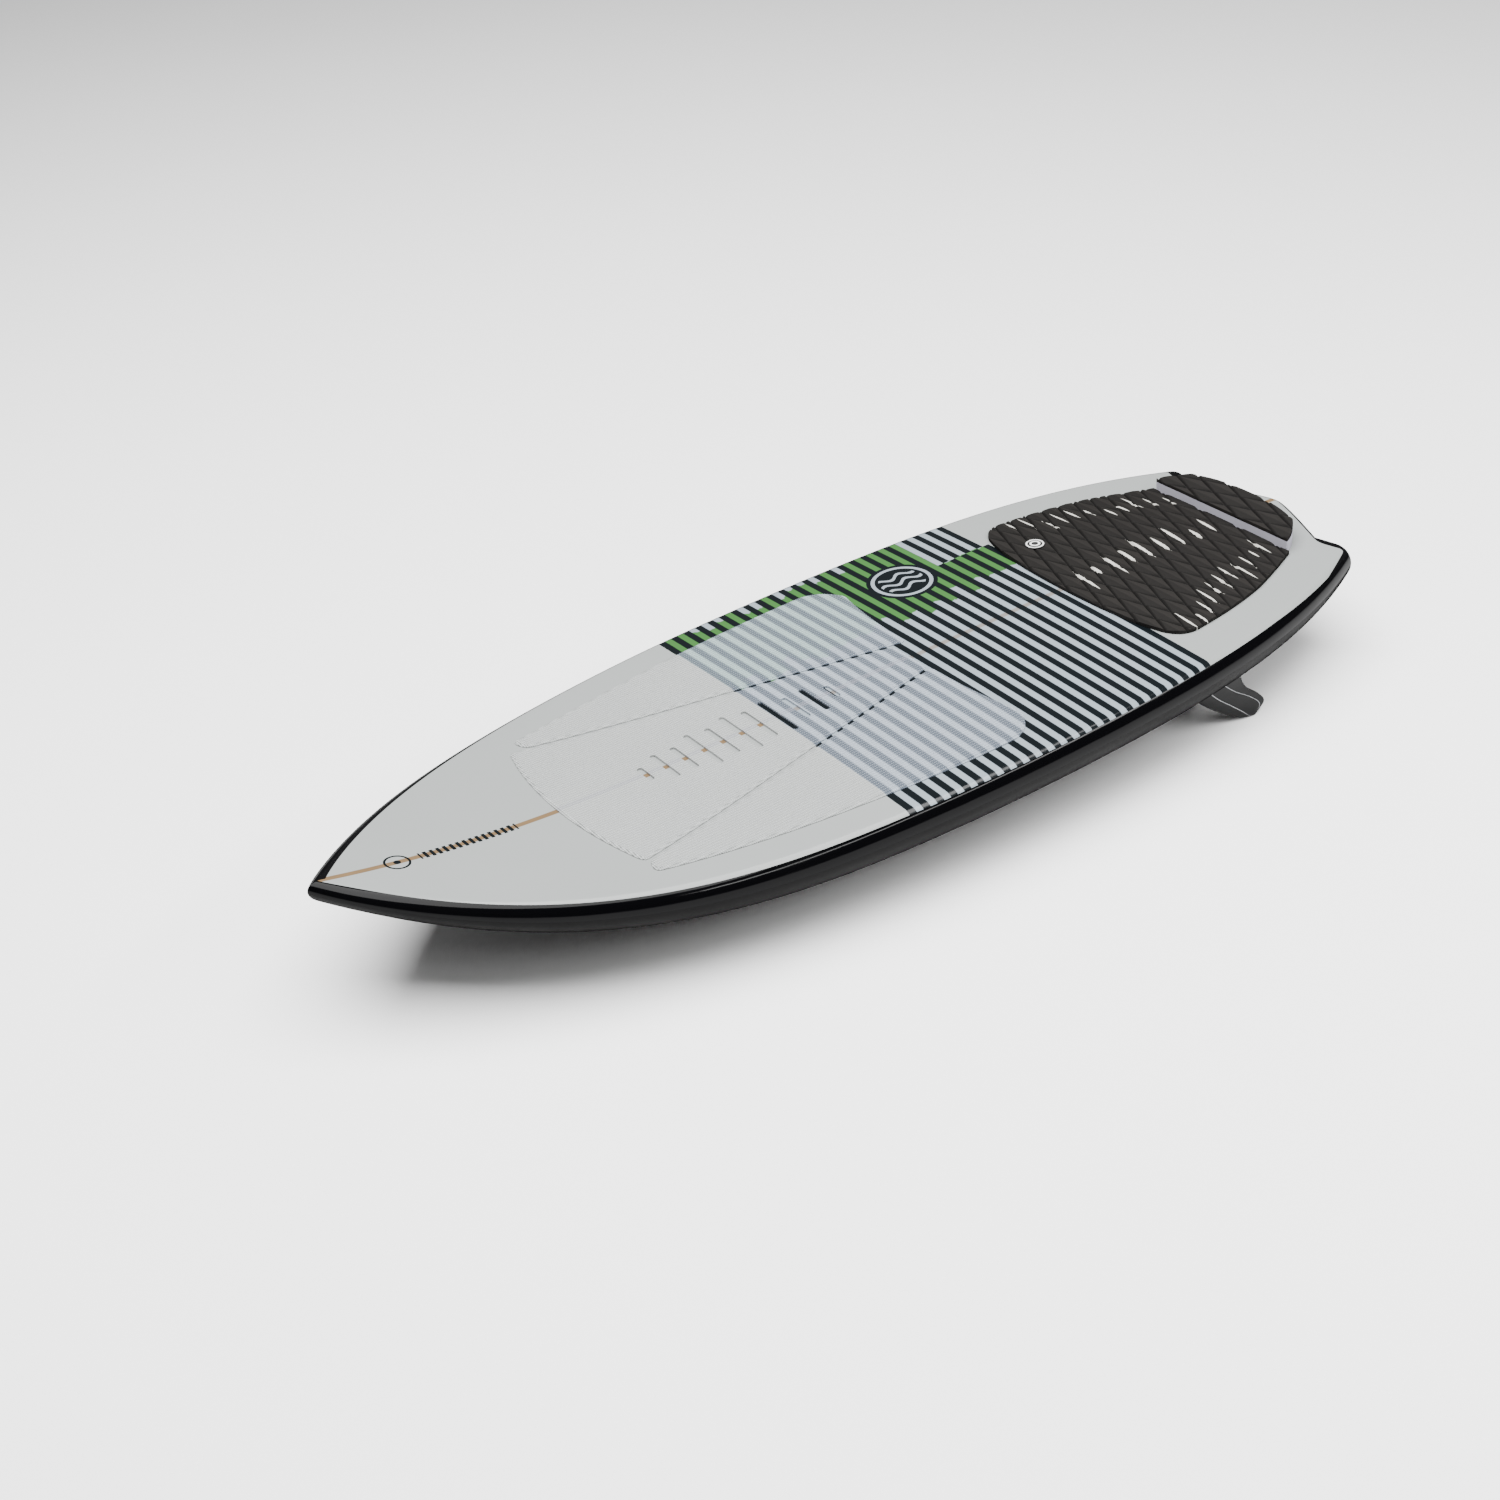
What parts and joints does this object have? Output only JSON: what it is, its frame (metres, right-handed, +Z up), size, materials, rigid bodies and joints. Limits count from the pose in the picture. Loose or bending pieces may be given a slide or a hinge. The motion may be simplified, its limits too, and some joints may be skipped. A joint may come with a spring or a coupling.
{
  "type": "wakesurf board",
  "caption": "Surf-style wake board with a pointed nose and winged diamond tail, black rails, a three-piece front pad, a kicked tail pad and slide-in fins.",
  "frame": {"origin": "under the middle of the board's length and width, at the height of the side fins' tips", "axes": "+X towards the nose, +Y towards the board's left rail, +Z up from the deck"},
  "size_m": [1.47, 0.5508, 0.1766],
  "materials": {
    "foam": "matte",
    "fin_plug_foam": "matte",
    "stringer_wood": "satin",
    "deck_laminate": "gloss",
    "bottom_laminate": "satin",
    "rail_laminate": "gloss",
    "front_pad": "satin",
    "tail_pad": "matte",
    "kick_foam": "matte",
    "badge": "matte",
    "fin": "satin",
    "fin_box": "matte",
    "screw_steel": "satin"
  },
  "bodies": {
    "board": {"bottom_skin": "bottom_laminate", "box_plug_centre": "fin_plug_foam", "box_plug_left": "fin_plug_foam", "box_plug_right": "fin_plug_foam", "deck_skin": "deck_laminate", "fin_box_centre": "fin_box", "fin_box_left": "fin_box", "fin_box_right": "fin_box", "foam_core_left": "foam", "foam_core_right": "foam", "front_pad_centre": "front_pad", "front_pad_left": "front_pad", "front_pad_right": "front_pad", "kick_cover": "tail_pad", "kick_wedge": "kick_foam", "pad_badge": "badge", "rail_band_left": "rail_laminate", "rail_band_right": "rail_laminate", "stringer": "stringer_wood", "tail_pad": "tail_pad"},
    "fin_left": {"fin_left": "fin"},
    "screw_left_front": {"screw_left_front": "screw_steel"},
    "screw_left_rear": {"screw_left_rear": "screw_steel"},
    "fin_right": {"fin_right": "fin"},
    "screw_right_front": {"screw_right_front": "screw_steel"},
    "screw_right_rear": {"screw_right_rear": "screw_steel"},
    "fin_centre": {"fin_centre": "fin"},
    "screw_centre_front": {"screw_centre_front": "screw_steel"},
    "screw_centre_rear": {"screw_centre_rear": "screw_steel"}
  },
  "joints": [
    {"name": "fin_left_slide", "type": "slide", "parent": "board", "child": "fin_left", "axis": [-0.0232, 0.087, -0.9959], "range_m": [0, 0.025]},
    {"name": "screw_left_front_turn", "type": "hinge", "parent": "board", "child": "screw_left_front", "pos_m": [-0.36334, 0.2048, 0.08724], "axis": [-0.0503, -0.4993, -0.865], "range_deg": [0, 720]},
    {"name": "screw_left_rear_turn", "type": "hinge", "parent": "board", "child": "screw_left_rear", "pos_m": [-0.42124, 0.20784, 0.08885], "axis": [-0.0503, -0.4993, -0.865], "range_deg": [0, 720]},
    {"name": "fin_right_slide", "type": "slide", "parent": "board", "child": "fin_right", "axis": [-0.0232, -0.087, -0.9959], "range_m": [0, 0.025]},
    {"name": "screw_right_front_turn", "type": "hinge", "parent": "board", "child": "screw_right_front", "pos_m": [-0.36334, -0.2048, 0.08724], "axis": [-0.0503, 0.4993, -0.865], "range_deg": [0, 720]},
    {"name": "screw_right_rear_turn", "type": "hinge", "parent": "board", "child": "screw_right_rear", "pos_m": [-0.42124, -0.20784, 0.08885], "axis": [-0.0503, 0.4993, -0.865], "range_deg": [0, 720]},
    {"name": "fin_centre_slide", "type": "slide", "parent": "board", "child": "fin_centre", "axis": [-0.0336, 0, -0.9994], "range_m": [0, 0.025]},
    {"name": "screw_centre_front_turn", "type": "hinge", "parent": "board", "child": "screw_centre_front", "pos_m": [-0.56587, 0.0072, 0.09395], "axis": [-0.0275, 0.5736, -0.8187], "range_deg": [0, 720]},
    {"name": "screw_centre_rear_turn", "type": "hinge", "parent": "board", "child": "screw_centre_rear", "pos_m": [-0.62384, 0.0072, 0.0959], "axis": [-0.0275, 0.5736, -0.8187], "range_deg": [0, 720]}
  ]
}
